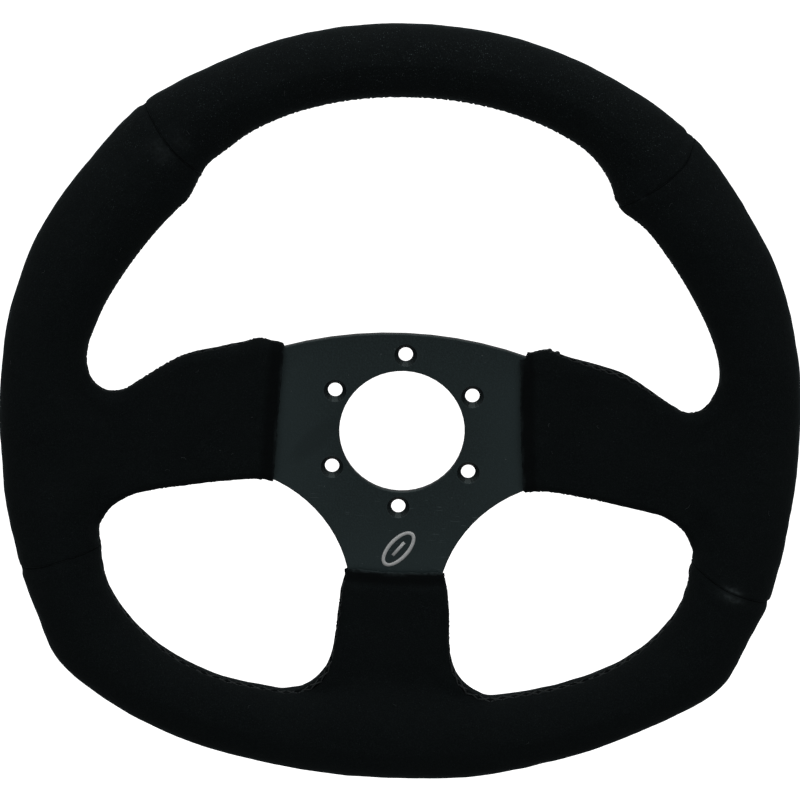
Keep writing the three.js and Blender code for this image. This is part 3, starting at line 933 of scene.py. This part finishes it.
# Pressed patches beside the seams: smoother suede, and painted lighter as a painted highlight.
WORN_HIGHLIGHT_SPOTS = [  # x, y, length, width, turn in degrees, amount: pressed shiny patches beside the seams
    (-108, 122.5, 5.5, 4, -40, 0.3), (-100, 128, 4.5, 3, -40, 0.15), (150.5, -63, 3.4, 0.9, -20, 1),
    (150.5, -66.5, 3.2, 0.9, -18, 0.8), (150, -65, 6, 4, -20, 0.25), (97, 111.5, 1.8, 0.6, 28, 0.7),
]
PANEL_FLAT = {  # width and length of the cut in metres, and its flat area in square metres
    "top": (0.11, 0.26, 0.023), "right": (0.18, 0.27, 0.032), "left": (0.18, 0.27, 0.033),
    "bottom": (0.2, 0.36, 0.045),
}


def cover_mesh():
    """The whole cover's surface, cut along the seams, the laced edge and the ragged hems."""
    v, tris = body_mesh(GRID)
    for curve in seam_curves.values():
        for level in SEAM_LEVELS:
            d, _ = curve_distance(v[:, 0], v[:, 1], curve)
            v, tris, _ = split(v, tris, d - level, (np.abs(d) < 20)[tris].all(1))
    for level in LACE_LEVELS:
        near = sample(D_HOLE, v[:, 0], v[:, 1]) < 8
        v, tris, _ = split(v, tris, v[:, 2] - lace_plane(v[:, 0], v[:, 1]) - level, near[tris].all(1))
    ragged = 0.16 * waves(v, 5.0, 31) + 0.10 * waves(v, 1.9, 32)
    hem = sample(INTO, v[:, 0], v[:, 1])
    v, tris, hem = split(v, tris, hem + ragged)
    tris = tris[hem[tris].mean(1) > 0]
    v, tris, _ = compact(v, tris, {})
    return (*settle(v, 1), tris)


def panel_of(points):
    """Which panel each planform point is on."""
    x, y = points[:, 0], points[:, 1]
    sides = seam_fields(points)
    upper = np.where(x > 0, -sides["upper_right"][0], sides["upper_left"][0])
    lower = np.where(x > 0, sides["lower_right"][0], -sides["lower_left"][0])
    side = np.where(x > 0, "right", "left")
    return np.where((y > 60) & (upper < 0), "top", np.where((y < -45) & (lower < 0), "bottom", side))


def make_cover():
    v, normals, tris = cover_mesh()
    relief, seam_shade_mask, into, lace_shade_mask = suede_relief(v)
    # Painted highlight on the pressed patches beside the seams.
    worn_highlight = np.zeros(len(v))
    for sx, sy, length, width, turn, amount in WORN_HIGHLIGHT_SPOTS:
        c, s = math.cos(math.radians(turn)), math.sin(math.radians(turn))
        along, across = c * (v[:, 0] - sx) + s * (v[:, 1] - sy), c * (v[:, 1] - sy) - s * (v[:, 0] - sx)
        near = np.exp(-((along / length) ** 2) - (across / width) ** 2)
        worn_highlight += amount * near * (v[:, 2] > MIDDLE)
    hem_band = (1 - step(4.5, 7.0, into)) * (into < 9)
    raw = (1 - step(0.3, 0.8, into)) * (into < 3) * np.where(v[:, 1] < -50, 0.55, 0.25)
    # Painted shade in the seam valleys and along the laced edge, and a darker band along each hem.
    dark = np.clip(np.maximum(np.maximum(seam_shade_mask, 0.8 * lace_shade_mask), 0.75 * hem_band), 0, 1) * (1 - raw)
    outer = v + normals * relief[:, None]
    inner = v + normals * (0.4 * np.minimum(relief, 0) - SUEDE)[:, None]
    panel = panel_of(v[tris].mean(1))
    for name, (width, length, area) in PANEL_FLAT.items():
        own = {"outer": outer, "inner": inner, "worn_highlight": worn_highlight, "dark": dark, "raw": raw}
        _, part_tris, own = compact(v, tris[panel == name], own)
        shell_v, shell_t = closed_shell(own["outer"], own["inner"], part_tris)
        both = {k: np.concatenate([own[k], own[k]]) for k in ("worn_highlight", "dark", "raw")}
        piece = make_object("suede_cover_" + name, to_row(shell_v), shell_t, SUEDE_MAT, True, both)
        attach(piece, "root")
        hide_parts("suede_" + name)


foam_v, foam_f = foam_mesh()
foam = make_object("foam_padding", to_row(foam_v), foam_f, FOAM_MAT)
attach(foam, "root")
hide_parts("foam_core")
make_cover()

# ---------------------------------------------------------------- thread
LACE_PITCH = 5.5
LACE_HALF = 1.8
LACE_RADIUS = 0.3
SEAM_THREAD_RADIUS = 0.16
SEAM_THREAD_DEPTH = 0.1
KNOTS = {"lacing_right_upper": [(63, 40), (66.5, 39)], "lacing_left_upper": [(-66.5, 37), (-63, 38)]}


def on_surface(points, lift):
    v, normals = settle(np.asarray(points, float), 4)
    return v + normals * lift


def lace_stitch(a, b):
    """One thread across the laced edge: out of the cover at a, over the valley, and in again at b."""
    t = np.array([0, 0.12, 0.5, 0.88, 1])[:, None]
    lift = np.array([-0.7, -0.02, -0.15, -0.02, -0.7])[:, None]
    return on_surface(np.array(a) * (1 - t) + np.array(b) * t, lift)


def lace_node(place, loop_number):
    panel = panel_of(place[None, :])[0]
    side = "right" if place[0] > 0 else "left"
    if loop_number == 0:
        return "lacing_top" if panel == "top" else f"lacing_{side}_upper"
    return f"lacing_bottom_{side}" if panel == "bottom" else f"lacing_{side}_lower"


def make_lacing():
    """Crossed stitches along every laced edge, one piece for each run between seams and hems."""
    runs = {}
    for number, loop in enumerate([upper_loop, *lower_loops]):
        stops = even(loop, LACE_PITCH)
        into = sample(INTO, stops[:, 0], stops[:, 1])
        for i, here in enumerate(stops):
            there = stops[(i + 1) % len(stops)]
            if into[i] < 2.5 or into[(i + 1) % len(stops)] < 2.5 or np.hypot(*(there - here)) > 8:
                continue
            for up in (LACE_HALF, -LACE_HALF):
                path = lace_stitch([*here, lace_plane(*here) + up], [*there, lace_plane(*there) - up])
                node = lace_node((here + there) / 2, number)
                runs.setdefault(node, []).append(tube(path, LACE_RADIUS, 5))
    for node, places in KNOTS.items():
        for x, y in places:
            turn = np.linspace(0, 5 * math.pi, 22)
            ball = [x, y, MIDDLE + 1.6] + 0.75 * np.stack(
                [np.cos(turn), np.sin(turn) * 0.8, np.sin(turn * 0.7)], 1
            )
            runs[node].append(tube(ball, 0.45, 6))
    return runs


def seam_path(curve, lift):
    """A closed line round the rim in the valley of a seam."""
    edge = np.minimum(sample(D_OUTER, *curve.T), sample(D_INNER, *curve.T))
    inside = curve[edge > 0.5]
    turn = np.arange(90) * 2 * math.pi / 90
    at = (0.5 - 0.5 * np.cos(turn)) * (len(inside) - 1)
    flat = np.stack([np.interp(at, np.arange(len(inside)), inside[:, i]) for i in (0, 1)], 1)
    z = MIDDLE + 0.93 * RIM_DEPTH * np.sin(turn)
    return on_surface(np.column_stack([flat, z]), lift)


def thread_piece(node, parts):
    v, tris = joined(parts)
    piece = make_object("thread_" + node, to_row(v), tris, THREAD_MAT)
    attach(piece, "root")
    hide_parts(node)


for node, parts in make_lacing().items():
    thread_piece(node, parts)
for name, curve in seam_curves.items():
    path = seam_path(curve, -SEAM_ROLL - SEAM_THREAD_DEPTH)
    thread_piece("seam_thread_" + name, [tube(path, SEAM_THREAD_RADIUS, 6, True)])

# ---------------------------------------------------------------- loose lint on the suede
LINT_COUNT = 26


def make_lint():
    rng = np.random.default_rng(5)
    hairs = []
    while len(hairs) < LINT_COUNT:
        x, y = rng.uniform(-180, 180), rng.uniform(-160, 175)
        at = np.array([[x, y]])
        inside, into = sample(D_EDGE, *at.T)[0], sample(INTO, *at.T)[0]
        if inside < 4 or into < 3:
            continue
        length, angle, bend = rng.uniform(0.8, 2.6), rng.uniform(0, math.pi), rng.uniform(-1.2, 1.2)
        t = np.linspace(-0.5, 0.5, 7)
        heading = angle + bend * t
        flat = np.stack([x + length * t * np.cos(heading), y + length * t * np.sin(heading)], 1)
        path = on_surface(np.column_stack([flat, np.full(7, MIDDLE + 0.8 * RIM_DEPTH)]), 0.12)
        hairs.append(tube(path, 0.035, 4))
    v, tris = joined(hairs)
    piece = make_object("lint", to_row(v), tris, LINT_MAT)
    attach(piece, "root")


make_lint()

# ---------------------------------------------------------------- printed mark on the plate
MARK_CENTRE = (1, -54.5)
MARK_TURN = math.radians(52)
MARK_HEIGHT = 0.05
MARK_POINTS = 48
RING_OUTER = (10, 5)
RING_INNER = (8.4, 3.4)
DASH_HALF = (4, 0.7)


def prism(sections, closing):
    """A closed solid through a row of sections, which all have the same number of corners."""
    count, sides = sections.shape[:2]
    v = sections.reshape(-1, 3)
    tris = []
    for i in range(count if closing else count - 1):
        j = (i + 1) % count
        for k in range(sides):
            m = (k + 1) % sides
            a, b, c, d = i * sides + k, j * sides + k, j * sides + m, i * sides + m
            tris += [(a, b, c), (a, c, d)]
    if not closing:
        last = (count - 1) * sides
        tris += [f for k in range(1, sides - 1) for f in ((0, k, k + 1), (last, last + k + 1, last + k))]
    return v, np.array(tris)


def make_mark():
    """A plain oval ring round a short dash, as two flat closed pieces of ink."""
    low, high = PLATE_FRONT + 0.01, PLATE_FRONT + 0.01 + MARK_HEIGHT
    turn = np.arange(MARK_POINTS) * 2 * math.pi / MARK_POINTS
    around = np.stack([np.cos(turn), np.sin(turn)], 1)
    outer, inner = around * RING_OUTER, around * RING_INNER
    heights = ((outer, high), (inner, high), (inner, low), (outer, low))
    ring = np.stack([np.column_stack([loop, np.full(MARK_POINTS, z)]) for loop, z in heights], 1)
    long, wide = DASH_HALF
    section = ((wide, high), (-wide, high), (-wide, low), (wide, low))
    dash = np.array([[(x, y, z) for y, z in section] for x in (-long, long)])
    cosine, sine = math.cos(MARK_TURN), math.sin(MARK_TURN)
    v, tris = joined([prism(ring, True), prism(dash[::-1], False)])
    v[:, :2] = v[:, :2] @ np.array([[cosine, sine], [-sine, cosine]]) + MARK_CENTRE
    piece = make_object("printed_mark", to_row(v), tris, MARK_MAT, False)
    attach(piece, "root")


make_mark()

# ---------------------------------------------------------------- carried-over CAD pieces
CAD_MATERIALS = {"spoke_plate": PLATE_MAT, "rim_hoop": STEEL_MAT, "rivet": RIVET_MAT}
for name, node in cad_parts.items():
    if node.hide_render:
        continue
    own = next(material for start, material in CAD_MATERIALS.items() if name.startswith(start))
    node.data.materials.clear()
    node.data.materials.append(own)

# ---------------------------------------------------------------- floor and light
FLOOR_Z = -0.62
FLOOR_HALF = 900
floor_mat = Nodes("floor_pale")
floor_mat.set(Base_Color=(0.9, 0.9, 0.9), Roughness=0.9, Emission_Color=(1, 1, 1), Emission_Strength=1.0)
floor_corners = [(x * FLOOR_HALF, y * FLOOR_HALF, FLOOR_Z) for x, y in ((-1, -1), (1, -1), (1, 1), (-1, 1))]
floor = make_object("floor", np.array(floor_corners), np.array([[0, 1, 2, 3]]), floor_mat.material, False)
floor.visible_glossy = False
floor.visible_diffuse = False


def area_light(name, place, target, size, power, colour=(1, 1, 1)):
    data = bpy.data.lights.new(name, "AREA")
    data.shape = "RECTANGLE"
    data.size, data.size_y = size
    data.energy = power
    data.color = colour
    light = bpy.data.objects.new(name, data)
    light.location = place
    light.rotation_euler = (Vector(target) - Vector(place)).to_track_quat("-Z", "Y").to_euler()
    scene.collection.objects.link(light)


area_light("top_softbox", (0.0, -0.25, 1.5), (0, 0, 0), (1.6, 1.2), 7.5)
area_light("left_softbox", (-1.4, -1.0, 0.7), (0, 0, 0), (0.9, 1.2), 1.8)
area_light("right_softbox", (1.4, -1.0, 0.6), (0, 0, 0), (0.9, 1.2), 1.6)


def make_world():
    """A pale surrounding light, a little stronger from above."""
    world = bpy.data.worlds.new("world")
    scene.world = world
    world.use_nodes = True
    tree = world.node_tree
    direction = tree.nodes.new("ShaderNodeTexCoord").outputs["Generated"]
    axes = tree.nodes.new("ShaderNodeSeparateXYZ")
    tree.links.new(direction, axes.inputs[0])
    grade = tree.nodes.new("ShaderNodeMapRange")
    tree.links.new(axes.outputs["Z"], grade.inputs["Value"])
    for key, value in {"From Min": -0.6, "From Max": 0.8, "To Min": 0.20, "To Max": 0.34}.items():
        grade.inputs[key].default_value = value
    background = tree.nodes["Background"]
    background.inputs["Color"].default_value = (1, 1, 1, 1)
    tree.links.new(grade.outputs[0], background.inputs["Strength"])


make_world()
scene.view_settings.view_transform = "Standard"
